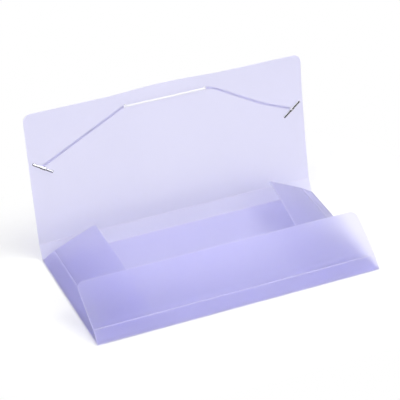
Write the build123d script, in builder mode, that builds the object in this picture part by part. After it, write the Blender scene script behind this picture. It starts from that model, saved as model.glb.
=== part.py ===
from build123d import *
from math import cos, pi, radians, sin, sqrt, tan
import os

# Three-flap document folder cut from one creased polypropylene sheet, with a corner elastic.
# Millimetres, +Z up. The back panel lies on the table, its underside centred on the origin.
# The spine and cover stand at the back (+Y), the long flap rises at the front (-Y), and the
# side flaps rise at the left (-X) and right (+X), as they spring when the folder lies open.

# Sheet, laid flat
length = 250.0  # along X, the same for the back panel, spine, cover and front flap
depth = 125.0  # back panel, from front crease to spine crease
sheet = 0.5
spine_width = 12.6
cover_depth = 114.5
front_gusset_width = 12.4
front_flap_width = 42.4
side_gusset_width = 12.2
side_flap_width = 40.5
cover_corner = 7.0
front_corner = 6.5
side_corner = 3.0

# Ends of the side strips, measured from the back panel's corners along Y
side_back_inset = 1.2  # back end of the side gussets
side_back_slant = 7.0  # degrees that the back end of a side flap leans inwards
gusset_foot_inset = 2.5  # front end of a side gusset, at the back panel
gusset_head_inset = 17.5  # the same end at its flap, clear of the long flap when it swings
flap_tip_inset = 13.0  # front end of a side flap, at its free edge

# How far each strip is folded up from flat open, in degrees, as it rests
spine_fold = 58.0
cover_fold = 76.4
front_gusset_fold = 138.0
front_flap_fold = 150.3
side_gusset_fold = 147.0
flap_fold_at_back = 150.0  # the side flaps are sprung: up at the back,
flap_fold_at_front = 177.0  # held down by the long flap at the front
flap_twist = 1.5  # how late the flap starts to dip on its way forward, as a power
outline_clearance = 0.6  # between a side flap's free edge and the outline that rounds its corners

# Creases: a round web along each fold line, level with the inner face
web_radius = 0.25
web_gap = 0.08

# Elastic cord and its holes in the cover
cord_diameter = 1.8
hole_radius = 1.5
end_hole_inset = 11.5  # from the cover's side edge
end_hole_height = 66.5  # above the cover crease
top_hole_spread = 71.6  # between the two upper holes
top_hole_drop = 12.0  # below the cover's free edge
cord_stand_off = 0.1  # between the cord and the face that it lies on
cord_bend = 1.8  # radius where it dives through a hole
dive_angle = 60.0
slack_points = ((0.109, 0.047), (0.676, 0.722))  # right stretch: shares of its run, along and down
slack_bends = (24.0, 90.0)

# Metal T-bars
bar_length = 19.4
bar_radius = 1.25
bar_wall = 0.32
bar_slot = 0.55  # open seam of the rolled bar, on the side away from the cover
bar_collar_length = 4.6  # where it is clamped on the cord
bar_collar_radius = 1.55
bar_end_round = 0.3  # also the slope of the collar's shoulders
bar_stand_off = 0.2  # between a T-bar and the cover
bar_bore_gap = 0.07
left_bar_turn = -32.0  # degrees from level, seen from the front
right_bar_turn = 37.0

os.makedirs("parts", exist_ok=True)
strip_start = web_radius + web_gap


def crease(x, y, along):
    """Plane of a strip laid flat outside a back-panel edge: X along the crease, Y outwards."""
    return Plane(origin=(x, y, sheet), x_dir=along, z_dir=(0, 0, 1))


def next_crease(plane, width):
    """The crease at the far side of a strip."""
    return Plane(origin=plane.from_local_coords((0, width, 0)), x_dir=plane.x_dir, z_dir=plane.z_dir)


def folded(plane, degrees):
    """The strip's plane turned up about its crease."""
    turn = radians(degrees)
    facing = plane.z_dir * cos(turn) - plane.y_dir * sin(turn)
    return Plane(origin=plane.origin, x_dir=plane.x_dir, z_dir=facing)


def web_end(plane, start):
    """Plane across a crease, at a distance along it, where the round web of the crease begins."""
    return Plane(origin=plane.from_local_coords((start, 0, 0)), z_dir=plane.x_dir)


def save(builder, name):
    builder.part.label = name
    export_step(builder.part, f"parts/{name}.step")


# Back panel, with the web of each of its four creases
half_length, half_depth = length / 2, depth / 2
web_half = half_length - strip_start
side_front = -half_depth + gusset_foot_inset
side_back = half_depth - side_back_inset
spine_flat = crease(0, half_depth, (1, 0, 0))
front_flat = crease(0, -half_depth, (-1, 0, 0))
side_flats = {side: crease(side * half_length, 0, (0, -side, 0)) for side in (-1, 1)}
with BuildPart() as back_panel:
    with BuildSketch():
        Rectangle(length, depth)
    extrude(amount=sheet)
    with BuildSketch(web_end(spine_flat, -web_half), web_end(front_flat, -web_half)):
        Circle(web_radius)
    extrude(amount=2 * web_half)
    with BuildSketch(web_end(side_flats[-1], side_front), web_end(side_flats[1], -side_back)):
        Circle(web_radius)
    extrude(amount=side_back - side_front)
save(back_panel, "back_panel")

# Spine strip and cover
spine_plane = folded(spine_flat, spine_fold)
cover_plane = folded(next_crease(spine_plane, spine_width), cover_fold - spine_fold)
with BuildPart() as spine_panel:
    with BuildSketch(spine_plane):
        with Locations((0, (spine_width + strip_start) / 2)):
            Rectangle(length, spine_width - strip_start)
    extrude(amount=-sheet)
    with BuildSketch(web_end(cover_plane, -web_half)):
        Circle(web_radius)
    extrude(amount=2 * web_half)
save(spine_panel, "spine_panel")

end_hole_x = half_length - end_hole_inset
top_hole_x = top_hole_spread / 2
top_hole_height = cover_depth - top_hole_drop
hole_places = [
    (-end_hole_x, end_hole_height),
    (-top_hole_x, top_hole_height),
    (top_hole_x, top_hole_height),
    (end_hole_x, end_hole_height),
]
with BuildPart() as cover_panel:
    with BuildSketch(cover_plane) as cover_outline:
        with Locations((0, (cover_depth + strip_start) / 2)):
            Rectangle(length, cover_depth - strip_start)
        fillet(cover_outline.vertices().group_by(Axis.Z)[-1], cover_corner)
        with Locations(*hole_places):
            Circle(hole_radius, mode=Mode.SUBTRACT)
    extrude(amount=-sheet)
save(cover_panel, "cover_panel")

# Front strip and the long flap
front_gusset_plane = folded(front_flat, front_gusset_fold)
front_flap_plane = folded(
    next_crease(front_gusset_plane, front_gusset_width), front_flap_fold - front_gusset_fold
)
with BuildPart() as front_gusset:
    with BuildSketch(front_gusset_plane):
        with Locations((0, (front_gusset_width + strip_start) / 2)):
            Rectangle(length, front_gusset_width - strip_start)
    extrude(amount=-sheet)
    with BuildSketch(web_end(front_flap_plane, -web_half)):
        Circle(web_radius)
    extrude(amount=2 * web_half)
save(front_gusset, "front_gusset")

with BuildPart() as front_flap:
    with BuildSketch(front_flap_plane) as flap_outline:
        with Locations((0, (front_flap_width + strip_start) / 2)):
            Rectangle(length, front_flap_width - strip_start)
        fillet(flap_outline.vertices().group_by(Axis.Z)[-1], front_corner)
    extrude(amount=-sheet)
save(front_flap, "front_flap")


def side_strips(name, side):
    """Gusset and sprung flap at one side: side is -1 at the left and 1 at the right."""
    gusset_plane = folded(side_flats[side], side_gusset_fold)
    flap_flat = next_crease(gusset_plane, side_gusset_width)
    # along the crease, local X runs backwards at the left and forwards at the right
    back, foot = -side * side_back, -side * side_front
    head = -side * (-half_depth + gusset_head_inset)
    with BuildPart() as gusset:
        with BuildSketch(gusset_plane):
            with BuildLine():
                Polyline(
                    (back, strip_start),
                    (back, side_gusset_width),
                    (head, side_gusset_width),
                    (foot, strip_start),
                    close=True,
                )
            make_face()
        extrude(amount=-sheet)
        with BuildSketch(web_end(flap_flat, min(back, head))):
            Circle(web_radius)
        extrude(amount=abs(back - head))
    save(gusset, f"{name}_gusset")

    # the flap is lofted through straight cross sections that lie flatter towards the front
    front_y, back_y = -half_depth + flap_tip_inset, side_back
    stations = 7
    with BuildPart() as flap:
        for i in range(stations):
            share = i / (stations - 1)
            station = back_y + (front_y - back_y) * share
            fold = flap_fold_at_back + (flap_fold_at_front - flap_fold_at_back) * share**flap_twist
            section = Plane(
                origin=flap_flat.origin + Vector(0, station, 0), x_dir=(side, 0, 0), z_dir=(0, -side, 0)
            )
            along = Vector(cos(radians(fold)), sin(radians(fold)))
            below = Vector(sin(radians(fold)), -cos(radians(fold)))
            with BuildSketch(section):
                with BuildLine():
                    Polyline(
                        along * strip_start,
                        along * side_flap_width,
                        along * side_flap_width + below * sheet,
                        along * strip_start + below * sheet,
                        close=True,
                    )
                make_face()
        loft()
        # the cut outline, seen from above: clear of the bulging free edge, so that its larger
        # corners take a side_corner off that edge
        crease_x = abs(flap_flat.origin.X)
        back_x = crease_x + side_flap_width * cos(radians(flap_fold_at_back)) - outline_clearance
        front_x = crease_x + side_flap_width * cos(radians(flap_fold_at_front)) - outline_clearance
        back_tip = side_back - side_flap_width * tan(radians(side_back_slant))
        outline_corner = side_corner + outline_clearance + sqrt(2 * side_corner * outline_clearance)
        with BuildSketch() as outline:
            with BuildLine():
                Polyline(
                    (side * crease_x, side_back),
                    (side * back_x, back_tip),
                    (side * front_x, front_y),
                    (side * crease_x, -half_depth + gusset_head_inset),
                    close=True,
                )
            make_face()
            fillet(outline.vertices().sort_by_distance((side * back_x, 0))[:2], outline_corner)
        extrude(amount=side_flap_width + side_gusset_width, mode=Mode.INTERSECT)
    save(flap, f"{name}_flap")


for side_name, side_sign in (("left", -1), ("right", 1)):
    side_strips(side_name, side_sign)


def on_cover(along, up, into):
    """Point on the cover: along X, up from its crease, and in from the middle of the sheet."""
    return cover_plane.from_local_coords((along, up, into - sheet / 2))


# Elastic cord, threaded through the cover. It lies on the outer face along its two slanted
# stretches and on the inner face between the upper holes, and dives through at each hole.
cord_radius = cord_diameter / 2
lie = sheet / 2 + cord_stand_off + cord_radius
dive = lie / tan(radians(dive_angle))
bar_centre = sheet / 2 + bar_stand_off + bar_collar_radius
left_end, left_top, right_top, right_end = [Vector(*place) for place in hole_places]
left_slope = (left_top - left_end).normalized()
right_run = right_end - right_top
slack_places = [right_top + Vector(right_run.X * along, right_run.Y * down) for along, down in slack_points]
right_slope = (slack_places[0] - right_top).normalized()
level = Vector(1, 0)


def cord_point(place, into):
    """The same for a place given as a vector on the cover."""
    return on_cover(place.X, place.Y, into)


cord_points = [
    cord_point(left_end, bar_centre),
    cord_point(left_end, -lie),
    cord_point(left_top - left_slope * dive, -lie),
    cord_point(left_top + level * dive, lie),
    cord_point(right_top - level * dive, lie),
    cord_point(right_top + right_slope * dive, -lie),
    *[cord_point(place, -lie) for place in slack_places],
    cord_point(right_end, -lie),
    cord_point(right_end, bar_centre),
]
cord_bends = [cord_bend] * 5 + list(slack_bends) + [cord_bend]
with BuildPart() as elastic_cord:
    with BuildLine() as cord_route:
        FilletPolyline(*cord_points, radius=cord_bends)
    with BuildSketch(Plane(origin=cord_route.line @ 0, z_dir=cord_route.line % 0)):
        Circle(cord_radius)
    sweep()
save(elastic_cord, "elastic_cord")
cord_length = sum(edge.length for edge in cord_route.line.edges())
print("cord: length", round(cord_length, 1), "bends", cord_bends)
print("cord: volume over section times length", elastic_cord.part.volume / (cord_length * pi * cord_radius**2))


def cord_end(name, place, turn):
    """Rolled metal bar across the cord's end, with a collar at the middle and a bore for the cord."""
    middle = cord_point(place, bar_centre)
    facing = Plane(origin=middle, x_dir=cover_plane.x_dir, z_dir=cover_plane.z_dir)
    lengthways = facing.x_dir * cos(radians(turn)) + facing.y_dir * sin(radians(turn))
    across = Plane(origin=middle, x_dir=facing.z_dir, z_dir=lengthways)
    half_bar, half_collar = bar_length / 2, bar_collar_length / 2
    with BuildPart() as bar:
        with BuildSketch(Plane(origin=middle, x_dir=lengthways, z_dir=facing.z_dir)):
            with BuildLine():
                Polyline(
                    (-half_bar, 0),
                    (-half_bar, bar_radius - bar_end_round),
                    (-half_bar + bar_end_round, bar_radius),
                    (-half_collar - bar_end_round, bar_radius),
                    (-half_collar, bar_collar_radius),
                    (half_collar, bar_collar_radius),
                    (half_collar + bar_end_round, bar_radius),
                    (half_bar - bar_end_round, bar_radius),
                    (half_bar, bar_radius - bar_end_round),
                    (half_bar, 0),
                    close=True,
                )
            make_face()
        revolve(axis=Axis(middle, lengthways))
        with BuildSketch(across):
            Circle(bar_radius - bar_wall)
            with Locations((bar_collar_radius, 0)):
                Rectangle(2 * bar_collar_radius, bar_slot)
        extrude(amount=bar_length / 2, both=True, mode=Mode.SUBTRACT)
        with BuildSketch(facing):
            Circle(cord_radius + bar_bore_gap)
        extrude(amount=-2 * bar_collar_radius, mode=Mode.SUBTRACT)
    save(bar, name)


cord_end("left_cord_end", left_end, left_bar_turn)
cord_end("right_cord_end", right_end, right_bar_turn)
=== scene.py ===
"""Frosted three-flap document folder with a corner elastic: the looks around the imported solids."""

import math

import bmesh
import bpy
from bpy.props import FloatProperty, FloatVectorProperty, IntProperty, PointerProperty
from mathutils import Matrix, Vector


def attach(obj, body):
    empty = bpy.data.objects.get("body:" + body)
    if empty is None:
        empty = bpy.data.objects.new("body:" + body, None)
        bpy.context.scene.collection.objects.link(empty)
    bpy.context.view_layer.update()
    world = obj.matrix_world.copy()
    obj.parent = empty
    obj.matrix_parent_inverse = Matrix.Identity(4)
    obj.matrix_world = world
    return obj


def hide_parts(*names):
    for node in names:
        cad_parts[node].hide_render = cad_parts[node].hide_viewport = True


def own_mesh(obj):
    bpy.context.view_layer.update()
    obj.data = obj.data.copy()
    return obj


bl_info = {
    "name": "Frosted flap folder",
    "version": (1, 0, 0),
    "blender": (4, 5, 0),
    "location": "3D View > Sidebar > Folder",
    "description": "Builds a creased polypropylene folder with its elastic and its metal cord ends",
    "category": "Add Mesh",
}

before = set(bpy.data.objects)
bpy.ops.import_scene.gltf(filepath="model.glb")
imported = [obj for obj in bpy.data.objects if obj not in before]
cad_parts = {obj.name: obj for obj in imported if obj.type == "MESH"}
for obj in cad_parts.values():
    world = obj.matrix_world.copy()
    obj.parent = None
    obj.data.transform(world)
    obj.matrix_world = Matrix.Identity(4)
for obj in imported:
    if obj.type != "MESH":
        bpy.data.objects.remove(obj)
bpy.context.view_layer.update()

PLAIN, CREASED, CUT = 0, 1, 2
FINISH_SOCKETS = [(n, "NodeSocketMaterial") for n in ("Sheet finish", "Edge finish", "Crease finish")]
# metres between the rows of a mesh, and cells along a strip
PANEL_STEP, FREE_STEP, SIDE_STEP, GUSSET_STEP = 0.008, 0.006, 0.004, 0.003
BAR_STEP, CORD_STEP, WELD = 0.001, 0.0004, 1e-7
PANEL_CELLS, FLAP_CELLS, STRIP_CELLS, GUSSET_CELLS = 48, 36, 32, 20
# the slack run's two bends: shares of its way along and down, and the radius of the bend
SLACK_BENDS = ((0.109, 0.047, 0.024), (0.676, 0.722, 0.09))
# places and depths of the crimp on each half of a cord end's collar, and how far a lip turns in
CRIMP = ((0.0004, 0), (0.0008, 0.0001), (0.0012, 0.0001), (0.0016, 0))
LIP_TURN = 0.0001
# name, bearing and height in degrees, distance and size in metres, power in watts
LAMPS = (
    ("key", -20, 57, 1.2, 0.6, 6.1),
    ("front", -68, 30, 1.4, 0.8, 5.9),
    ("fill", 200, 55, 1.2, 0.8, 3.5),
)
WORLD_LIGHT = 0.55
# the table lies a hair below the folder, so that light gets out between the two
TABLE_HALF, TABLE_DROP, SHADOW_REACH = 6, 0.0004, 0.1


def linear(hex_colour):
    """An sRGB hex colour as the linear values that Blender works with."""
    parts = [int(hex_colour[i : i + 2], 16) / 255 for i in (1, 3, 5)]
    return tuple(c / 12.92 if c <= 0.04045 else ((c + 0.055) / 1.055) ** 2.4 for c in parts)


def length(name, description, millimetres):
    """A length property, given in millimetres and held in metres."""
    return FloatProperty(
        name=name, description=description, default=millimetres / 1000, min=0, precision=5, unit="LENGTH"
    )


def angle(name, description, degrees):
    """An angle property, given in degrees and held in radians."""
    return FloatProperty(name=name, description=description, default=math.radians(degrees), subtype="ANGLE")


def colour(name, description, hex_colour):
    """A colour property, given as sRGB hex."""
    return FloatVectorProperty(
        name=name, description=description, default=linear(hex_colour), min=0, max=1, subtype="COLOR"
    )


class FolderSheet(bpy.types.PropertyGroup):
    """Sizes of the creased sheet, as it lies flat, and how far each strip is folded."""

    long_side: length("Length", "Along the spine", 250)
    depth: length("Depth", "Back panel, from front crease to spine crease", 125)
    thickness: length("Thickness", "Gauge of the sheet", 0.5)
    spine_width: length("Spine width", "Between the two back creases", 12.6)
    cover_depth: length("Cover depth", "From the cover crease to its free edge", 114.5)
    front_gusset: length("Front gusset", "Between the two front creases", 12.4)
    front_flap: length("Front flap", "From its crease to its free edge", 42.4)
    side_gusset: length("Side gusset", "Between the two creases of a side", 12.2)
    side_flap: length("Side flap", "From its crease to its free edge", 40.5)
    cover_corner: length("Cover corner", "Radius of the cover's two corners", 7)
    front_corner: length("Front corner", "Radius of the long flap's two corners", 6.5)
    side_corner: length("Side corner", "Radius of a side flap's two corners", 3)
    side_back: length("Side back inset", "Back end of a side strip, from the spine crease", 1.2)
    side_slant: angle("Side slant", "Lean of a side flap's back end", 7)
    gusset_foot: length("Gusset foot inset", "Front end of a side gusset at the back panel", 2.5)
    gusset_head: length("Gusset head inset", "Front end of a side gusset at its flap", 17.5)
    flap_tip: length("Flap tip inset", "Front end of a side flap at its free edge", 13)
    spine_fold: angle("Spine fold", "Up from flat open", 58)
    cover_fold: angle("Cover fold", "Up from flat open", 76.4)
    gusset_fold: angle("Front gusset fold", "Up from flat open", 138)
    flap_fold: angle("Front flap fold", "Up from flat open", 150.3)
    side_fold: angle("Side gusset fold", "Up from flat open", 147)
    flap_back_fold: angle("Side flap fold, back", "Up from flat open, where the flap springs up", 150)
    flap_front_fold: angle("Side flap fold, front", "Up from flat open, under the long flap", 177)
    flap_twist: FloatProperty(name="Twist", description="How late a side flap dips, as a power", default=1.5)
    cover_bow: length("Cover bow", "How far the elastic pulls the free edge's middle back", 5.3)
    bow_reach: length("Bow reach", "From the middle to where the bow runs out", 54)
    left_lean: length("Left lean", "How far the cover's left corner springs forward", 0.8)
    right_lean: length("Right lean", "How far the cover's right corner springs forward", 3.6)
    crease_radius: length("Crease radius", "Half the thickness of the web in a crease", 0.25)
    crease_gap: length("Crease gap", "Between a crease's web and the next strip", 0.08)
    crease_groove: length("Crease groove", "Half the width of the pressed groove", 0.85)
    crease_pale: length("Crease paleness", "Half the width of the paler band", 0.55)
    cut_margin: length("Cut margin", "Rim of a cut edge that the cutting rule dents", 0.3)


class FolderCord(bpy.types.PropertyGroup):
    """Sizes of the elastic cord, its holes and its route over the cover."""

    diameter: length("Diameter", "Covered elastic cord", 1.8)
    hole_radius: length("Hole radius", "Holes punched in the cover", 1.5)
    end_inset: length("End hole inset", "From the cover's side edge", 11.5)
    end_height: length("End hole height", "Above the cover crease", 66.5)
    top_spread: length("Top hole spread", "Between the two upper holes", 71.6)
    top_drop: length("Top hole drop", "Below the cover's free edge", 12)
    stand_off: length("Stand-off", "Between the cord and the sheet that it lies on", 0.1)
    bend: length("Bend", "Radius where the cord dives through a hole", 1.8)
    dive: angle("Dive", "Slope of the cord through a hole", 60)
    bar_lift: length("Bar lift", "Middle of a cord end above the sheet's middle", 2.0)
    bar_length: length("Bar length", "Rolled cord end", 19.4)
    bar_radius: length("Bar radius", "Rolled cord end", 1.25)
    bar_wall: length("Bar wall", "Strip that a cord end is rolled from", 0.32)
    bar_seam: length("Bar seam", "Open seam of a cord end", 1.1)
    bar_round: length("Bar end round", "Radius at the ends of a cord end", 0.3)
    collar_length: length("Collar length", "Clamped part of a cord end", 4.6)
    collar_radius: length("Collar radius", "Clamped part of a cord end", 1.55)
    bore_radius: length("Bore radius", "Hole of a cord end for the cord", 0.97)
    left_roll: angle("Left roll", "How far the left bar's seam is rolled down", 35)
    right_roll: angle("Right roll", "How far the right bar's seam is rolled down", -20)
    left_turn: angle("Left turn", "Left cord end, from level", -32)
    right_turn: angle("Right turn", "Right cord end, from level", 37)
    yarns: IntProperty(name="Yarns", description="Yarns wound each way", default=6, min=2)
    yarn_radius: length("Yarn radius", "Half the width of one yarn", 0.2)
    pitch: length("Braid pitch", "Length of one turn of a yarn", 5)


class FolderFinish(bpy.types.PropertyGroup):
    """Colours of the folder's materials and of the studio."""

    sheet: colour("Sheet", "What one thickness of the sheet lets through", "#e4e3f8")
    # painted light: the cut edge's paler colour stands in, in part, for light that the sheet gathers and lets
    # out at its edges
    edge: colour("Cut edge", "Die-cut edge that gathers light", "#f0effb")
    crease: colour("Crease", "Sheet whitened where it is pressed thin", "#ebe9fb")
    yarn: colour("Yarn", "Braided cover of the elastic", "#f4f3f8")
    plate: colour("Plate", "Nickel plate of the cord ends", "#d6d6db")
    # painted shade: near black, for the shade inside the rolled cord ends that shows through their open seams
    bare: colour("Bare steel", "Unplated inside of the rolled cord ends", "#19181c")
    floor: colour("Floor", "Table top of the studio", "#f5f5f5")


# Small builders that the operators share


def add_node(tree, kind, inputs=(), **settings):
    """Adds a node, gives it its settings, and links or sets its inputs by name or number."""
    node = tree.nodes.new(kind)
    for key, value in settings.items():
        setattr(node, key, value)
    for key, value in dict(inputs).items():
        if isinstance(value, bpy.types.NodeSocket):
            tree.links.new(value, node.inputs[key])
        else:
            node.inputs[key].default_value = value
    return node


def result(tree, kind, inputs=(), **settings):
    """Adds a node and gives its first output."""
    return add_node(tree, kind, inputs, **settings).outputs[0]


def sums(tree):
    """Two functions that add a sum to a tree and give its result: any sum, and the product of two values."""

    def maths(operation, first, second=0.0):
        return result(tree, "ShaderNodeMath", {0: first, 1: second}, operation=operation)

    return maths, lambda first, second: maths("MULTIPLY", first, second)


def vectors(tree, operation, first, second=(0, 0, 0)):
    """The result of one vector sum."""
    return result(tree, "ShaderNodeVectorMath", {0: first, 1: second}, operation=operation)


def scaled(tree, vector, factor):
    """A vector made longer or shorter."""
    return result(tree, "ShaderNodeVectorMath", {0: vector, "Scale": factor}, operation="SCALE")


def spread(tree, value, low, high, start=0.0, end=1.0, **settings):
    """A value that runs from start to end, turned into one that runs from low to high."""
    given = {"Value": value, "From Min": start, "From Max": end, "To Min": low, "To Max": high}
    return result(tree, "ShaderNodeMapRange", given, **settings)


def new_tree(name, numbers, others=()):
    """An empty geometry tree with named number inputs and others, and what these inputs give."""
    tree = bpy.data.node_groups.new(name, "GeometryNodeTree")
    sockets = [("Geometry", "NodeSocketGeometry"), *[(n, "NodeSocketFloat") for n in numbers], *others]
    for label, kind in sockets:
        tree.interface.new_socket(label, in_out="INPUT", socket_type=kind)
    tree.interface.new_socket("Geometry", in_out="OUTPUT", socket_type="NodeSocketGeometry")
    return tree, tree.nodes.new("NodeGroupInput").outputs


def close_tree(tree, geometry):
    """Ends a geometry tree at its output."""
    real = result(tree, "GeometryNodeRealizeInstances", {0: geometry})
    add_node(tree, "NodeGroupOutput", {0: real})
    return tree


def grown(data, tree, values):
    """Runs a geometry tree on a mesh or curve and returns the result as a plain mesh."""
    source = bpy.data.objects.new("source", data)
    bpy.context.scene.collection.objects.link(source)
    modifier = source.modifiers.new("grow", "NODES")
    modifier.node_group = tree
    sockets = {s.name: s.identifier for s in tree.interface.items_tree if s.in_out == "INPUT"}
    for label, value in values.items():
        modifier[sockets[label]] = value
    evaluated = source.evaluated_get(bpy.context.evaluated_depsgraph_get())
    mesh = bpy.data.meshes.new_from_object(evaluated)
    bpy.data.objects.remove(source)
    return mesh


def settle(name, mesh, place, body, node, smooth=35):
    """Puts a mesh in its place in the row frame, closes and turns it outwards, and hands it to its body."""
    mesh.transform(place)
    form = bmesh.new()
    form.from_mesh(mesh)
    bmesh.ops.remove_doubles(form, verts=form.verts, dist=WELD)
    bmesh.ops.recalc_face_normals(form, faces=form.faces)
    form.to_mesh(mesh)
    form.free()
    mesh.shade_smooth()
    mesh.set_sharp_from_angle(angle=math.radians(smooth))
    piece = bpy.data.objects.new(name, mesh)
    bpy.context.scene.collection.objects.link(piece)
    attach(piece, body)
    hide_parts(node)
    return piece


def settle_sheet(name, strip, scene, node, tree=None, values=()):
    """Finishes a flat strip of the sheet, shapes it by its tree if it has one, and settles it as a body."""
    mesh = grown(strip, tree or flat_strip_tree(), dict(values) | finishes(scene))
    return settle(name, mesh, strips(scene.folder_sheet)[node], node, node)


def flat_frame(origin, along, outward, fold):
    """Matrix of a strip: x along its crease, y away from it in the sheet, z out of its inner face."""
    up = outward * math.cos(fold) + Vector((0, 0, 1)) * math.sin(fold)
    inner = Vector((0, 0, 1)) * math.cos(fold) - outward * math.sin(fold)
    matrix = Matrix((along, up, inner)).transposed().to_4x4()
    matrix.translation = origin
    return matrix


def ease(share):
    """A share between 0 and 1, with a soft start and end."""
    share = min(max(share, 0), 1)
    return share * share * (3 - 2 * share)


# The creased sheet: every strip is a closed shell whose skins follow the pressed creases


def strips(sheet):
    """The frame of every strip of the sheet, by its node."""
    x, y, z = Vector((1, 0, 0)), Vector((0, 1, 0)), Vector((0, 0, 1))
    level = z * sheet.thickness
    spine = flat_frame(level + y * sheet.depth / 2, x, y, sheet.spine_fold)
    gusset = flat_frame(level - y * sheet.depth / 2, x, -y, sheet.gusset_fold)
    found = {
        "back_panel": flat_frame(level, x, y, 0),
        "spine_panel": spine,
        "cover_panel": flat_frame(spine @ Vector((0, sheet.spine_width, 0)), x, y, sheet.cover_fold),
        "front_gusset": gusset,
        "front_flap": flat_frame(gusset @ Vector((0, sheet.front_gusset, 0)), x, -y, sheet.flap_fold),
    }
    for name, outward in (("left", -x), ("right", x)):
        side = flat_frame(level + outward * sheet.long_side / 2, y, outward, sheet.side_fold)
        found[name + "_gusset"] = side
        found[name + "_flap"] = flat_frame(side @ Vector((0, sheet.side_gusset, 0)), y, outward, 0)
    return found


def carrying_crease(sheet, distance):
    """Heights of the two skins near a crease whose web belongs to this strip."""
    web, groove = sheet.crease_radius, sheet.crease_groove
    if distance <= 0:
        height = math.sqrt(max(web * web - distance * distance, 0))
        return height, -height
    rise = ease(distance / groove)
    return web * (1 - ease(2 * distance / groove)), -(web + (sheet.thickness - web) * rise)


def meeting_crease(sheet, distance):
    """Heights of the two skins near a crease whose web belongs to the strip before it."""
    start = sheet.crease_radius + sheet.crease_gap
    rise = ease((distance - start) / (sheet.crease_groove - start))
    lip = 0.9 * sheet.crease_radius
    return 0, -(lip + (sheet.thickness - lip) * rise)


def carrying_rows(sheet):
    """Distances at which a strip that carries the web has its rows, from the web's far side inwards."""
    web, groove = sheet.crease_radius, sheet.crease_groove
    return [-web, -0.92 * web, -0.7 * web, -0.35 * web, 0, 0.25 * groove, 0.5 * groove, 0.75 * groove, groove]


def meeting_rows(sheet):
    """Distances at which a strip that meets the web has its rows."""
    start = sheet.crease_radius + sheet.crease_gap
    return [start, (start + sheet.crease_groove) / 2, sheet.crease_groove]


def corner_rows(end, radius, margin):
    """Rows through a rounded corner, up to a free edge and with one at the inner side of its cut margin."""
    rows = [end - radius + radius * math.sin(math.radians(k * 15)) for k in range(7)]
    return sorted([*rows, end - margin])


def corner_inset(y, end, radius):
    """How far a rounded corner pulls a side edge in at that row."""
    inside = y - (end - radius)
    return radius - math.sqrt(max(radius * radius - inside * inside, 0)) if inside > 0 else 0


def spaced(start, end, step):
    """Evenly spaced rows between two others, without these."""
    count = max(1, round((end - start) / step))
    return [start + (end - start) * k / count for k in range(1, count)]


def shell(rows, edges, shares, skins, zone):
    """A closed shell of rows from one side edge to the other, each face marked with its middle's zone."""
    form = bmesh.new()
    upper, lower = [], []
    for y in rows:
        left, right = edges(y)
        places = [left + (right - left) * share for share in shares]
        heights = [skins(x, y) for x in places]
        upper.append([form.verts.new((x, y, h[0])) for x, h in zip(places, heights)])
        lower.append([form.verts.new((x, y, h[1])) for x, h in zip(places, heights)])
    last, end = len(rows) - 1, len(shares) - 1
    for i in range(last):
        for j in range(end):
            form.faces.new((upper[i][j], upper[i][j + 1], upper[i + 1][j + 1], upper[i + 1][j]))
            form.faces.new((lower[i][j], lower[i + 1][j], lower[i + 1][j + 1], lower[i][j + 1]))
        form.faces.new((upper[i][0], upper[i + 1][0], lower[i + 1][0], lower[i][0]))
        form.faces.new((upper[i][end], lower[i][end], lower[i + 1][end], upper[i + 1][end]))
    for j in range(end):
        form.faces.new((upper[0][j], lower[0][j], lower[0][j + 1], upper[0][j + 1]))
        form.faces.new((upper[last][j], upper[last][j + 1], lower[last][j + 1], lower[last][j]))
    bmesh.ops.remove_doubles(form, verts=form.verts, dist=WELD)
    bmesh.ops.recalc_face_normals(form, faces=form.faces)
    mark = form.faces.layers.int.new("zone")
    for face in form.faces:
        middle = face.calc_center_median()
        face[mark] = zone(middle.x, middle.y)
    mesh = bpy.data.meshes.new("shell")
    form.to_mesh(mesh)
    form.free()
    return mesh


def rimmed(count, width, margin):
    """Even shares across a strip, with one more at each side for the margin of its cut edge."""
    rim = margin / width
    return [0, rim, *[k / count for k in range(1, count)], 1 - rim, 1]


def zones(sheet, edges, creases, free=math.inf):
    """Test that tells a strip's creases, cut margins and plain skin apart by place."""

    def zone(x, y):
        if min(abs(y - crease) for crease in creases) < sheet.crease_pale:
            return CREASED
        left, right = edges(y)
        near = min(x - left, right - x, free - y)
        return CUT if near < sheet.cut_margin else PLAIN

    return zone


def narrow_strip(sheet, width, edges, across, count):
    """A strip between two creases: it meets the web of the first and carries that of the second."""
    low, high = meeting_rows(sheet), [width - d for d in reversed(carrying_rows(sheet))]
    rows = low + spaced(low[-1], high[0], GUSSET_STEP) + high

    def skins(x, y):
        return carrying_crease(sheet, width - y) if y > width / 2 else meeting_crease(sheet, y)

    shares = rimmed(count, across, sheet.cut_margin)
    return shell(rows, edges, shares, skins, zones(sheet, edges, (0, width)))


def free_panel(sheet, reach, radius, edges, across, count, step=FREE_STEP):
    """A panel between a crease, whose web it meets, and a free edge with rounded corners."""
    low, corner = meeting_rows(sheet), corner_rows(reach, radius, sheet.cut_margin)
    rows = low + spaced(low[-1], corner[0], step) + corner

    def skins(x, y):
        return meeting_crease(sheet, y)

    shares = rimmed(count, across, sheet.cut_margin)
    return shell(rows, edges, shares, skins, zones(sheet, edges, (0,), reach))


def long_edges(sheet, reach=0, radius=0):
    """Side edges of a strip as long as the folder, drawn in where it has rounded corners."""
    half = sheet.long_side / 2

    def edges(y):
        inset = corner_inset(y, reach, radius)
        return -half + inset, half - inset

    return edges


def on_bowed_cover(sheet, point):
    """A point of the flat cover moved as the bow and the lean move the cover there."""
    share, side = point.x / sheet.bow_reach, (point.x * 2 / sheet.long_side + 1) / 2
    bow = sheet.cover_bow * max(1 - share * share, 0) ** 2
    lean = sheet.left_lean + (sheet.right_lean - sheet.left_lean) * side
    square = (point.y / sheet.cover_depth) ** 2
    return point + Vector((0, 0, (lean * square - bow) * square))


def pressed_flat(piece, sheet):
    """Gives the piece its own copy of its mesh; the cover's bow and lean are left as they are."""
    cover = strips(sheet)["cover_panel"]
    tuple(cover.translation)
    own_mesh(piece)


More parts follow.
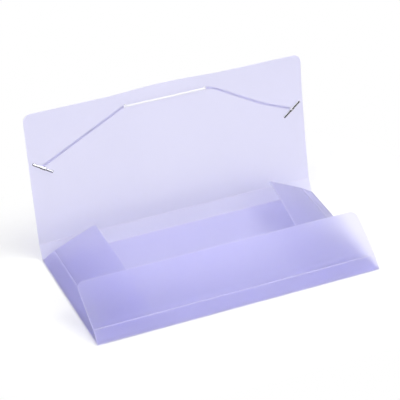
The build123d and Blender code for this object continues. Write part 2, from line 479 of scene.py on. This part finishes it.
def finished_sheet(tree, geometry, inputs):
    """Gives the plain skins, the creases and the cut margins their finishes, while the strip is flat."""
    maths, _ = sums(tree)
    normal = result(tree, "GeometryNodeInputNormal")
    upright = add_node(tree, "ShaderNodeSeparateXYZ", {0: normal}).outputs[2]
    wall = maths("LESS_THAN", maths("ABSOLUTE", upright), 0.3)
    zone = result(tree, "GeometryNodeInputNamedAttribute", {"Name": "zone"}, data_type="INT")
    creased, margin = (
        result(tree, "ShaderNodeMath", {0: zone, 1: number, 2: 0.1}, operation="COMPARE")
        for number in (CREASED, CUT)
    )
    cut = maths("MAXIMUM", wall, margin)
    for where, finish in ((True, "Sheet finish"), (cut, "Edge finish"), (creased, "Crease finish")):
        given = {"Geometry": geometry, "Material": inputs[finish], "Selection": where}
        geometry = result(tree, "GeometryNodeSetMaterial", given)
    return geometry


def flat_strip_tree():
    """Geometry tree of a strip that stays flat: it only gets its finishes."""
    tree, given = new_tree("Flat strip", (), FINISH_SOCKETS)
    return close_tree(tree, finished_sheet(tree, given["Geometry"], given))


def bowed_cover_tree():
    """Geometry tree of the cover: four punched holes, then the bow of its free edge and its lean."""
    holes = ("Hole radius", "End hole along", "End hole up", "Top hole along", "Top hole up")
    bend = ("Bow", "Bow reach", "Left lean", "Right lean", "Half length", "Depth")
    tree, given = new_tree("Bowed cover", holes + bend, FINISH_SOCKETS)
    maths, times = sums(tree)

    # points 0 and 1 are the left and right end holes, 2 and 3 the upper ones
    number = result(tree, "GeometryNodeInputIndex")
    upper = maths("GREATER_THAN", number, 1.5)
    side = maths("SUBTRACT", times(maths("MODULO", number, 2.0), 2.0), 1.0)
    ends = [{2: given["End hole " + way], 3: given["Top hole " + way]} for way in ("along", "up")]
    along, up = (result(tree, "ShaderNodeMix", {0: upper} | pair) for pair in ends)
    place = result(tree, "ShaderNodeCombineXYZ", {0: times(side, along), 1: up})
    points = result(tree, "GeometryNodePoints", {"Count": 4, "Position": place})
    form = {"Vertices": 40, "Radius": given["Hole radius"], "Depth": 0.004}
    punch = result(tree, "GeometryNodeMeshCylinder", form)
    punches = result(tree, "GeometryNodeInstanceOnPoints", {"Points": points, "Instance": punch})
    punched = cut_out(tree, given["Geometry"], punches)
    finished = finished_sheet(tree, punched, given)

    where = add_node(tree, "ShaderNodeSeparateXYZ", {0: result(tree, "GeometryNodeInputPosition")})
    share = maths("DIVIDE", where.outputs[0], given["Bow reach"])
    middle = maths("MAXIMUM", maths("SUBTRACT", 1.0, times(share, share)), 0.0)
    bow = times(times(middle, middle), given["Bow"])
    left = times(given["Half length"], -1.0)
    lean = spread(tree, where.outputs[0], given["Left lean"], given["Right lean"], left, given["Half length"])
    height = maths("DIVIDE", where.outputs[1], given["Depth"])
    square = times(height, height)
    # the bow starts low in the cover, the lean only near its corners
    forward = times(maths("SUBTRACT", times(lean, square), bow), square)
    shift = result(tree, "ShaderNodeCombineXYZ", {2: forward})
    bowed = result(tree, "GeometryNodeSetPosition", {"Geometry": finished, "Offset": shift})
    return close_tree(tree, bowed)


def cut_out(tree, solid, cutters):
    """A solid less its cutters."""
    real = result(tree, "GeometryNodeRealizeInstances", {0: cutters})
    kind = "GeometryNodeMeshBoolean"
    return result(tree, kind, {0: solid, 1: real}, operation="DIFFERENCE", solver="EXACT")


def sprung_flap_tree():
    """Geometry tree of a side flap: each row turns about the crease, and further towards the front."""
    numbers = ("Back", "Front", "Back fold", "Front fold", "Twist")
    tree, given = new_tree("Sprung flap", numbers, FINISH_SOCKETS)
    finished = finished_sheet(tree, given["Geometry"], given)
    position = result(tree, "GeometryNodeInputPosition")
    along = result(tree, "ShaderNodeSeparateXYZ", {0: position})
    share = spread(tree, along, 0.0, 1.0, given["Back"], given["Front"])
    dip = sums(tree)[0]("POWER", share, given["Twist"])
    turn = {"Vector": position, "Angle": spread(tree, dip, given["Back fold"], given["Front fold"])}
    turned = result(tree, "ShaderNodeVectorRotate", turn, rotation_type="X_AXIS")
    sprung = result(tree, "GeometryNodeSetPosition", {"Geometry": finished, "Position": turned})
    return close_tree(tree, sprung)


# Finishes


def new_material(name):
    """A cleared material, its tree, and the place on the piece that its patterns read."""
    material = bpy.data.materials.new(name)
    material.use_nodes = True
    tree = material.node_tree
    tree.nodes.clear()
    return material, tree, add_node(tree, "ShaderNodeTexCoord").outputs["Object"]


def speckle(tree, place, scale, detail=2.0):
    """A pattern of spots about 1 / scale metres wide."""
    return result(tree, "ShaderNodeTexNoise", {"Vector": place, "Scale": scale, "Detail": detail})


def between(tree, share, low, high):
    """The colour at a share of the way between two."""
    ends = {0: share, 6: list(low) + [1], 7: list(high) + [1]}
    return add_node(tree, "ShaderNodeMix", ends, data_type="RGBA").outputs[2]


def raised(tree, height, strength):
    """Relief up to a tenth of a millimetre high."""
    given = {"Strength": strength, "Distance": 0.0001, "Height": height}
    return result(tree, "ShaderNodeBump", given)


def surfaced(material, inputs):
    """Ends a material at one shader."""
    tree = material.node_tree
    shader = result(tree, "ShaderNodeBsdfPrincipled", inputs)
    add_node(tree, "ShaderNodeOutputMaterial", {0: shader})
    return material


def frosted_polypropylene(finish):
    """Calendered polypropylene with a matt grain: it blurs what lies behind it, more with distance."""
    material, tree, place = new_material("frosted_polypropylene")
    # clouds about 70 mm wide: the melt's faint unevenness in tint
    clouds = speckle(tree, place, 14.0)
    deep = [c * k for c, k in zip(finish.sheet, (0.975, 0.972, 0.995))]
    # the real grain is about 0.1 mm, drawn at 0.5 mm so that it shows at all
    grain = speckle(tree, place, 2000.0, 1.0)
    return surfaced(material, {
        "Base Color": between(tree, clouds, deep, finish.sheet),
        "Roughness": spread(tree, grain, 0.64, 0.72),
        "IOR": 1.2,
        "Transmission Weight": 0.95,
        "Coat Weight": 1.0,
        "Coat Roughness": 0.5,
        "Coat IOR": 1.49,
        "Normal": raised(tree, grain, 0.06),
    })


def worked_sheet(name, tint, clearness, scale):
    """Polypropylene that a tool has worked: it turns milky there and lets less through."""
    material, tree, place = new_material(name)
    marks = speckle(tree, place, scale)
    return surfaced(material, {
        "Base Color": between(tree, marks, [c * 0.96 for c in tint], tint),
        "Roughness": 0.55,
        "IOR": 1.2,
        "Transmission Weight": clearness,
        "Normal": raised(tree, marks, 0.15),
    })


def cut_edge(finish):
    """Die-cut edge, paler than the sheet: partly the milkiness of the cut, partly painted light that stands
    in for the light the sheet gathers and lets out here as a pale line; with drag marks 0.3 mm apart.
    """
    return worked_sheet("cut_edge", finish.edge, 0.4, 3000.0)


def pressed_crease(finish):
    """Heat-pressed living hinge: stress turns it milky, unevenly over about a millimetre."""
    return worked_sheet("pressed_crease", finish.crease, 0.7, 900.0)


def braided_polyester(finish):
    """Spun polyester yarn braided over a rubber core: dull, a little fuzzy, shaded between the yarns."""
    material, tree, place = new_material("braided_polyester")
    # filaments about 0.05 mm, drawn at 0.2 mm
    fibre = speckle(tree, place, 5000.0)
    return surfaced(material, {
        "Base Color": between(tree, fibre, [c * 0.9 for c in finish.yarn], finish.yarn),
        "Roughness": 0.8,
        "Sheen Weight": 0.3,
        "Normal": raised(tree, fibre, 0.3),
    })


def metal_strip(name, tint, smoothest, dullest):
    """A strip of metal with the lines of its rolling, about 0.15 mm apart."""
    material, tree, place = new_material(name)
    lines = speckle(tree, place, 6500.0, 3.0)
    rough = spread(tree, lines, smoothest, dullest)
    return surfaced(material, {"Base Color": list(tint) + [1], "Metallic": 1.0, "Roughness": rough})


def nickel_plate(finish):
    """Bright nickel on rolled steel: mirror-like, so that it takes the white of the room."""
    return metal_strip("nickel_plate", finish.plate, 0.1, 0.2)


def seam_shade_steel(finish):
    """The strip's inside, near black: painted shade that stands in for the shade in the rolled tube's hollow,
    seen only through the open seam.
    """
    return metal_strip("seam_shade_steel", finish.bare, 0.45, 0.6)


def shared(make, finish):
    """The material that a maker function gives, made once."""
    return bpy.data.materials.get(make.__name__) or make(finish)


def finishes(scene):
    """The sheet's three finishes, by the input of the geometry trees that takes them."""
    makers = (frosted_polypropylene, cut_edge, pressed_crease)
    return {label: shared(make, scene.folder_finish) for (label, _), make in zip(FINISH_SOCKETS, makers)}


# Operators


class FOLDER_OT_back_and_cover(bpy.types.Operator):
    """Back panel, spine and cover, with the pressed creases between them"""

    bl_idname = "folder.back_and_cover"
    bl_label = "Back, spine and cover"

    def execute(self, context):
        scene = context.scene
        sheet, cord = scene.folder_sheet, scene.folder_cord
        half, half_depth = sheet.long_side / 2, sheet.depth / 2

        def inwards(x, y):
            """Distance from the nearest of the back panel's four creases."""
            return min(half - abs(x), half_depth - abs(y))

        def across(limit):
            inner = [-limit + d for d in carrying_rows(sheet)]
            return inner + spaced(inner[-1], -inner[-1], PANEL_STEP) + [-v for v in reversed(inner)]

        reach = half + sheet.crease_radius
        back = shell(
            across(half_depth),
            lambda y: (-reach, reach),
            [(x + reach) / (2 * reach) for x in across(half)],
            lambda x, y: carrying_crease(sheet, inwards(x, y)),
            lambda x, y: CREASED if inwards(x, y) < sheet.crease_pale else PLAIN,
        )
        settle_sheet("back_sheet", back, scene, "back_panel")
        spine = narrow_strip(sheet, sheet.spine_width, long_edges(sheet), sheet.long_side, STRIP_CELLS)
        settle_sheet("spine_strip", spine, scene, "spine_panel")

        top, radius = sheet.cover_depth, sheet.cover_corner
        edges = long_edges(sheet, top, radius)
        sizes = {
            "Hole radius": cord.hole_radius,
            "End hole along": half - cord.end_inset,
            "End hole up": cord.end_height,
            "Top hole along": cord.top_spread / 2,
            "Top hole up": top - cord.top_drop,
            "Bow": sheet.cover_bow,
            "Bow reach": sheet.bow_reach,
            "Left lean": sheet.left_lean,
            "Right lean": sheet.right_lean,
            "Half length": half,
            "Depth": top,
        }
        cover = free_panel(sheet, top, radius, edges, sheet.long_side, PANEL_CELLS)
        piece = settle_sheet("cover_sheet", cover, scene, "cover_panel", bowed_cover_tree(), sizes)
        pressed_flat(piece, sheet)
        return {"FINISHED"}


class FOLDER_OT_front(bpy.types.Operator):
    """Front gusset and the long flap that folds in over the papers"""

    bl_idname = "folder.front"
    bl_label = "Front gusset and flap"

    def execute(self, context):
        scene, sheet = context.scene, context.scene.folder_sheet
        gusset = narrow_strip(sheet, sheet.front_gusset, long_edges(sheet), sheet.long_side, STRIP_CELLS)
        settle_sheet("front_gusset_strip", gusset, scene, "front_gusset")
        top, radius = sheet.front_flap, sheet.front_corner
        edges = long_edges(sheet, top, radius)
        flap = free_panel(sheet, top, radius, edges, sheet.long_side, PANEL_CELLS)
        settle_sheet("front_flap_sheet", flap, scene, "front_flap")
        return {"FINISHED"}


class FOLDER_OT_sides(bpy.types.Operator):
    """Side gussets and the sprung flaps above them"""

    bl_idname = "folder.sides"
    bl_label = "Side gussets and flaps"

    def execute(self, context):
        scene, sheet = context.scene, context.scene.folder_sheet
        places = strips(sheet)
        back, front = sheet.depth / 2 - sheet.side_back, -sheet.depth / 2
        foot, head, tip = (front + v for v in (sheet.gusset_foot, sheet.gusset_head, sheet.flap_tip))
        start, width, reach = sheet.crease_radius + sheet.crease_gap, sheet.side_gusset, sheet.side_flap
        slant, radius = math.tan(sheet.side_slant), sheet.side_corner

        def gusset_edges(y):
            share = min(max((y - start) / (width - start), 0), 1)
            return foot + (head - foot) * share, back

        def flap_edges(y):
            inset = corner_inset(y, reach, radius)
            return head + (tip - head) * y / reach + inset, back - slant * y - inset

        spring = {
            "Back": back,
            "Front": tip,
            "Back fold": sheet.flap_back_fold,
            "Front fold": sheet.flap_front_fold,
            "Twist": sheet.flap_twist,
        }
        for name, side in (("left", -1), ("right", 1)):
            node = name + "_gusset"
            gusset = narrow_strip(sheet, width, gusset_edges, back - foot, GUSSET_CELLS)
            settle_sheet(node + "_strip", gusset, scene, node)
            node = name + "_flap"
            flap = free_panel(sheet, reach, radius, flap_edges, back - foot, FLAP_CELLS, SIDE_STEP)
            piece = settle_sheet(node + "_sheet", flap, scene, node, sprung_flap_tree(), spring)
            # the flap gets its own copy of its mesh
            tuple(places[node].translation)
            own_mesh(piece)
        return {"FINISHED"}


def cord_route(sheet, cord):
    """Corners of the cord's route in the cover's frame, each with the radius of its bend."""
    left_end = Vector((cord.end_inset - sheet.long_side / 2, cord.end_height, 0))
    left_top = Vector((-cord.top_spread / 2, sheet.cover_depth - cord.top_drop, 0))
    right_top, right_end = Vector((-left_top.x, left_top.y, 0)), Vector((-left_end.x, left_end.y, 0))
    middle = Vector((0, 0, -sheet.thickness / 2))
    lie = sheet.thickness / 2 + cord.stand_off + cord.diameter / 2
    dive = lie / math.tan(cord.dive)
    run = right_end - right_top
    slack = [(right_top + Vector((run.x * x, run.y * y, 0)), radius) for x, y, radius in SLACK_BENDS]
    slope, fall = (left_top - left_end).normalized(), (slack[0][0] - right_top).normalized()
    level, tight = Vector((1, 0, 0)), cord.bend
    outer, inner, bar = Vector((0, 0, -lie)), Vector((0, 0, lie)), Vector((0, 0, cord.bar_lift))
    route = [
        (left_end + bar, tight),
        (left_end + outer, tight),
        (left_top - slope * dive + outer, tight),
        (left_top + level * dive + inner, tight),
        (right_top - level * dive + inner, tight),
        (right_top + fall * dive + outer, tight),
        *[(place + outer, radius) for place, radius in slack],
        (right_end + outer, tight),
        (right_end + bar, tight),
    ]
    return [(on_bowed_cover(sheet, point + middle), radius) for point, radius in route]


def braid_tree():
    """Geometry tree of the elastic: the route's corners are rounded, then yarns wind round it both ways."""
    others = (("Yarns", "NodeSocketInt"), ("Finish", "NodeSocketMaterial"))
    tree, given = new_tree("Braided cord", ("Cord radius", "Yarn radius", "Pitch"), others)
    maths, times = sums(tree)

    def tube(line, resolution, radius):
        ring = {"Resolution": resolution, "Radius": radius}
        profile = result(tree, "GeometryNodeCurvePrimitiveCircle", ring, mode="RADIUS")
        form = {"Curve": line, "Profile Curve": profile, "Fill Caps": True}
        return result(tree, "GeometryNodeCurveToMesh", form)

    bends = result(tree, "GeometryNodeInputRadius")
    corners = {"Curve": given["Geometry"], "Radius": bends, "Limit Radius": True, "Count": 12}
    path = result(tree, "GeometryNodeFilletCurve", corners, mode="POLY")
    even = {"Curve": path, "Length": CORD_STEP}
    path = result(tree, "GeometryNodeResampleCurve", even, mode="LENGTH")
    path = result(tree, "GeometryNodeSetCurveNormal", {"Curve": path}, mode="MINIMUM_TWIST")
    path = result(tree, "GeometryNodeSetCurveRadius", {"Curve": path, "Radius": 1.0})

    copies = {"Geometry": path, "Amount": times(given["Yarns"], 2.0)}
    doubled = add_node(tree, "GeometryNodeDuplicateElements", copies, domain="SPLINE")
    number = doubled.outputs["Duplicate Index"]
    way = maths("SUBTRACT", times(maths("MODULO", number, 2.0), 2.0), 1.0)
    step = maths("DIVIDE", 2 * math.pi, given["Yarns"])
    begin = times(maths("FLOOR", maths("DIVIDE", number, 2.0)), step)
    distance = add_node(tree, "GeometryNodeSplineParameter").outputs["Length"]
    turns = times(maths("DIVIDE", distance, given["Pitch"]), 2 * math.pi)
    spin = maths("ADD", times(turns, way), begin)
    # one over, one under: the two ways rise and dip in turn where they cross
    weave = times(maths("SINE", times(turns, given["Yarns"])), way)
    lift = times(weave, times(given["Yarn radius"], 0.3))
    sunk = maths("SUBTRACT", given["Cord radius"], times(given["Yarn radius"], 0.8))
    normal = result(tree, "GeometryNodeInputNormal")
    tangent = result(tree, "GeometryNodeInputTangent")
    cross = vectors(tree, "CROSS_PRODUCT", tangent, normal)
    across, upwards = scaled(tree, normal, maths("COSINE", spin)), scaled(tree, cross, maths("SINE", spin))
    offset = scaled(tree, vectors(tree, "ADD", across, upwards), maths("ADD", sunk, lift))
    lines = {"Geometry": doubled.outputs[0], "Offset": offset}
    yarns = tube(result(tree, "GeometryNodeSetPosition", lines), 5, given["Yarn radius"])
    core_radius = maths("SUBTRACT", given["Cord radius"], times(given["Yarn radius"], 1.2))
    joined = add_node(tree, "GeometryNodeJoinGeometry", {0: yarns})
    tree.links.new(tube(path, 10, core_radius), joined.inputs[0])
    look = {"Geometry": joined.outputs[0], "Material": given["Finish"]}
    return close_tree(tree, result(tree, "GeometryNodeSetMaterial", look))


class FOLDER_OT_elastic(bpy.types.Operator):
    """Braided elastic cord, threaded through the cover's four holes"""

    bl_idname = "folder.elastic"
    bl_label = "Elastic cord"

    def execute(self, context):
        scene = context.scene
        sheet, cord = scene.folder_sheet, scene.folder_cord
        line = bpy.data.curves.new("cord_line", "CURVE")
        line.dimensions = "3D"
        spline = line.splines.new("POLY")
        route = cord_route(sheet, cord)
        spline.points.add(len(route) - 1)
        for point, (where, bend) in zip(spline.points, route):
            point.co = (*where, 1)
            point.radius = bend
        sizes = {
            "Cord radius": cord.diameter / 2,
            "Yarn radius": cord.yarn_radius,
            "Pitch": cord.pitch,
            "Yarns": cord.yarns,
            "Finish": shared(braided_polyester, scene.folder_finish),
        }
        braid, place = grown(line, braid_tree(), sizes), strips(sheet)["cover_panel"]
        piece = settle("elastic_braid", braid, place, "cover_panel", "elastic_cord", smooth=80)
        pressed_flat(piece, sheet)
        return {"FINISHED"}


def bar_stations(cord):
    """Places along a cord end, each with its radius: rounded ends, plain bar, and the crimped collar."""
    end, collar, turn = cord.bar_length / 2, cord.collar_length / 2, cord.bar_round
    side = [
        *[(place, cord.collar_radius - dent) for place, dent in CRIMP],
        (collar - turn, cord.collar_radius),
        (collar, (cord.collar_radius + cord.bar_radius) / 2),
        (collar + turn, cord.bar_radius),
        *[(place, cord.bar_radius) for place in spaced(collar + turn, end - turn, BAR_STEP)],
        (end - turn, cord.bar_radius),
        (end - turn * 0.4, cord.bar_radius - turn * 0.2),
        (end, cord.bar_radius - turn * 0.7),
    ]
    return [(-place, radius) for place, radius in reversed(side)] + side


def rolled_bar(cord):
    """A strip rolled into an open tube along X, its seam towards +Z and its lips turned in a little."""
    form = bmesh.new()
    segments, opening = 28, math.asin(cord.bar_seam / 2 / cord.bar_radius)
    outer, inner = [], []
    for place, radius in bar_stations(cord):
        rings = ([], [])
        for k in range(segments + 1):
            turn = opening + (2 * math.pi - 2 * opening) * k / segments
            lip = LIP_TURN if k in (0, segments) else 0
            for ring, reach in zip(rings, (radius - lip, radius - cord.bar_wall - lip)):
                ring.append(form.verts.new((place, reach * math.sin(turn), reach * math.cos(turn))))
        outer.append(rings[0])
        inner.append(rings[1])
    last = len(outer) - 1
    for i in range(last):
        for k in range(segments):
            form.faces.new((outer[i][k], outer[i + 1][k], outer[i + 1][k + 1], outer[i][k + 1]))
            inside = form.faces.new((inner[i][k], inner[i][k + 1], inner[i + 1][k + 1], inner[i + 1][k]))
            # the inside takes the near-black painted shade
            inside.material_index = 1
        for k in (0, segments):
            form.faces.new((outer[i][k], inner[i][k], inner[i + 1][k], outer[i + 1][k]))
    for i in (0, last):
        for k in range(segments):
            form.faces.new((outer[i][k], outer[i][k + 1], inner[i][k + 1], inner[i][k]))
    bmesh.ops.recalc_face_normals(form, faces=form.faces)
    mesh = bpy.data.meshes.new("bar")
    form.to_mesh(mesh)
    form.free()
    return mesh


def bored_bar_tree():
    """Geometry tree that bores a rolled bar for its cord, on the side away from its seam."""
    tree, given = new_tree("Bored bar", ("Bore radius", "Depth"))
    form = {"Vertices": 24, "Radius": given["Bore radius"], "Depth": given["Depth"]}
    drill = result(tree, "GeometryNodeMeshCylinder", form)
    down = sums(tree)[1](given["Depth"], -0.5)
    place = result(tree, "ShaderNodeCombineXYZ", {2: down})
    lowered = result(tree, "GeometryNodeTransform", {"Geometry": drill, "Translation": place})
    return close_tree(tree, cut_out(tree, given["Geometry"], lowered))


class FOLDER_OT_cord_ends(bpy.types.Operator):
    """Rolled metal bars clamped on the two ends of the cord"""

    bl_idname = "folder.cord_ends"
    bl_label = "Cord ends"

    def execute(self, context):
        scene = context.scene
        sheet, cord = scene.folder_sheet, scene.folder_cord
        cover, finish = strips(sheet)["cover_panel"], scene.folder_finish
        lift = Vector((0, 0, cord.bar_lift - sheet.thickness / 2))
        for name, side, turn, roll in (
            ("left", -1, cord.left_turn, cord.left_roll),
            ("right", 1, cord.right_turn, cord.right_roll),
        ):
            bar = rolled_bar(cord)
            for make in (nickel_plate, seam_shade_steel):
                bar.materials.append(shared(make, finish))
            # the seam rolls down before the bore is drilled, which stays square to the cover
            bar.transform(Matrix.Rotation(roll, 4, "X"))
            bar = grown(bar, bored_bar_tree(), {"Bore radius": cord.bore_radius, "Depth": 0.002})
            middle = Vector((side * (sheet.long_side / 2 - cord.end_inset), cord.end_height, 0))
            place = Matrix.Translation(on_bowed_cover(sheet, middle) + lift) @ Matrix.Rotation(turn, 4, "Z")
            node = name + "_cord_end"
            settle(node + "_bar", bar, cover @ place, node, node)
        return {"FINISHED"}


class FOLDER_OT_studio(bpy.types.Operator):
    """Pale table, soft lamps and the camera"""

    bl_idname = "folder.studio"
    bl_label = "Studio"

    def execute(self, context):
        scene = context.scene
        scene.view_settings.view_transform = "Standard"
        # light crosses up to five sheets, and each has two faces
        scene.cycles.max_bounces = scene.cycles.transmission_bounces = 24
        scene.cycles.diffuse_bounces = 8
        self.floor(scene)
        self.world(scene)
        self.lamps(scene)
        self.camera(scene)
        return {"FINISHED"}

    def seen(self, tree):
        """1 for what the eye sees, straight or by way of sheet and metal, and 0 for light on matt things."""
        rays, (maths, times) = add_node(tree, "ShaderNodeLightPath").outputs, sums(tree)
        kinds = maths("MAXIMUM", rays["Is Camera Ray"], rays["Is Glossy Ray"])
        kinds = maths("MAXIMUM", kinds, rays["Is Transmission Ray"])
        return times(kinds, maths("LESS_THAN", rays["Diffuse Depth"], 0.5))

    def floor(self, scene):
        """A white table: it takes the folder's shadow near it and runs out to plain white."""
        form = bmesh.new()
        bmesh.ops.create_grid(form, x_segments=4, y_segments=4, size=TABLE_HALF)
        bmesh.ops.translate(form, verts=form.verts, vec=(0, 0, -TABLE_DROP))
        mesh = bpy.data.meshes.new("table")
        form.to_mesh(mesh)
        form.free()
        material, tree, place = new_material("white laminate table")
        pale = scene.folder_finish.floor
        tint = between(tree, speckle(tree, place, 30.0), [c * 0.995 for c in pale], pale)
        matt = result(tree, "ShaderNodeBsdfDiffuse", {"Color": tint})
        white = result(tree, "ShaderNodeEmission", {"Strength": 1.0})
        # plain white beyond the folder's shadow, for the eye and for what the sheet and metal show of it
        half = (scene.folder_sheet.long_side / 2, scene.folder_sheet.depth / 2, 1)
        beyond = vectors(tree, "SUBTRACT", vectors(tree, "ABSOLUTE", place), half)
        outside = vectors(tree, "MAXIMUM", beyond)
        away = add_node(tree, "ShaderNodeVectorMath", {0: outside}, operation="LENGTH").outputs["Value"]
        far = spread(tree, away, 0.0, 1.0, 0.0, SHADOW_REACH, interpolation_type="SMOOTHSTEP")
        mask = sums(tree)[1](self.seen(tree), far)
        mixed = result(tree, "ShaderNodeMixShader", {0: mask, 1: matt, 2: white})
        add_node(tree, "ShaderNodeOutputMaterial", {0: mixed})
        mesh.materials.append(material)
        table = bpy.data.objects.new("table", mesh)
        scene.collection.objects.link(table)

    def world(self, scene):
        """Even white all round, a little dimmer as a light than to the eye."""
        world = bpy.data.worlds.new("studio")
        scene.world = world
        world.use_nodes = True
        tree = world.node_tree
        tree.nodes.clear()
        strength = spread(tree, self.seen(tree), WORLD_LIGHT, 1.0)
        back = result(tree, "ShaderNodeBackground", {"Color": (1, 1, 1, 1), "Strength": strength})
        add_node(tree, "ShaderNodeOutputWorld", {0: back})

    def lamps(self, scene):
        """Three large soft lamps: a key from the right, one from the front and a weaker one from the left."""
        for name, bearing, height, distance, size, power in LAMPS:
            data = bpy.data.lights.new(name, "AREA")
            data.size = size
            data.energy = power
            lamp = bpy.data.objects.new(name, data)
            turn, rise = math.radians(bearing), math.radians(height)
            level = distance * math.cos(rise)
            lamp.location = (level * math.cos(turn), level * math.sin(turn), distance * math.sin(rise))
            lamp.rotation_euler = (-lamp.location).to_track_quat("-Z", "Y").to_euler()
            scene.collection.objects.link(lamp)

    def camera(self, scene):
        """Long lens from the front left, at the photograph's angle."""
        data = bpy.data.cameras.new("camera")
        data.sensor_width = 36
        data.lens = 181.02
        data.clip_start, data.clip_end = 0.05, 50
        right = Vector((0.914119, -0.405447, -0.000439))
        forward = Vector((0.335127, 0.756185, -0.562027))
        up = right.cross(forward)
        matrix = Matrix((right, up, -forward)).transposed().to_4x4()
        matrix.translation = Vector((-0.555027, -1.231080, 0.982479))
        camera = bpy.data.objects.new("camera", data)
        camera.matrix_world = matrix
        scene.collection.objects.link(camera)
        scene.camera = camera


class FOLDER_PT_sidebar(bpy.types.Panel):
    """Buttons that build the folder, piece by piece"""

    bl_idname = "FOLDER_PT_sidebar"
    bl_label = "Flap folder"
    bl_space_type = "VIEW_3D"
    bl_region_type = "UI"
    bl_category = "Folder"

    def draw(self, context):
        for kind in OPERATORS:
            self.layout.operator(kind.bl_idname)
        for group in (context.scene.folder_sheet, context.scene.folder_cord, context.scene.folder_finish):
            box = self.layout.box()
            for name in group.__annotations__:
                box.prop(group, name)


GROUPS = {"folder_sheet": FolderSheet, "folder_cord": FolderCord, "folder_finish": FolderFinish}
OPERATORS = (
    FOLDER_OT_studio,
    FOLDER_OT_back_and_cover,
    FOLDER_OT_front,
    FOLDER_OT_sides,
    FOLDER_OT_elastic,
    FOLDER_OT_cord_ends,
)


def register():
    for kind in (*GROUPS.values(), *OPERATORS, FOLDER_PT_sidebar):
        bpy.utils.register_class(kind)
    for name, kind in GROUPS.items():
        setattr(bpy.types.Scene, name, PointerProperty(type=kind))


def unregister():
    for name in GROUPS:
        delattr(bpy.types.Scene, name)
    for kind in reversed((*GROUPS.values(), *OPERATORS, FOLDER_PT_sidebar)):
        bpy.utils.unregister_class(kind)


def main():
    """Registers the add-on and builds every piece."""
    register()
    for kind in OPERATORS:
        group, name = kind.bl_idname.split(".")
        getattr(getattr(bpy.ops, group), name)()


if __name__ == "__main__":
    main()
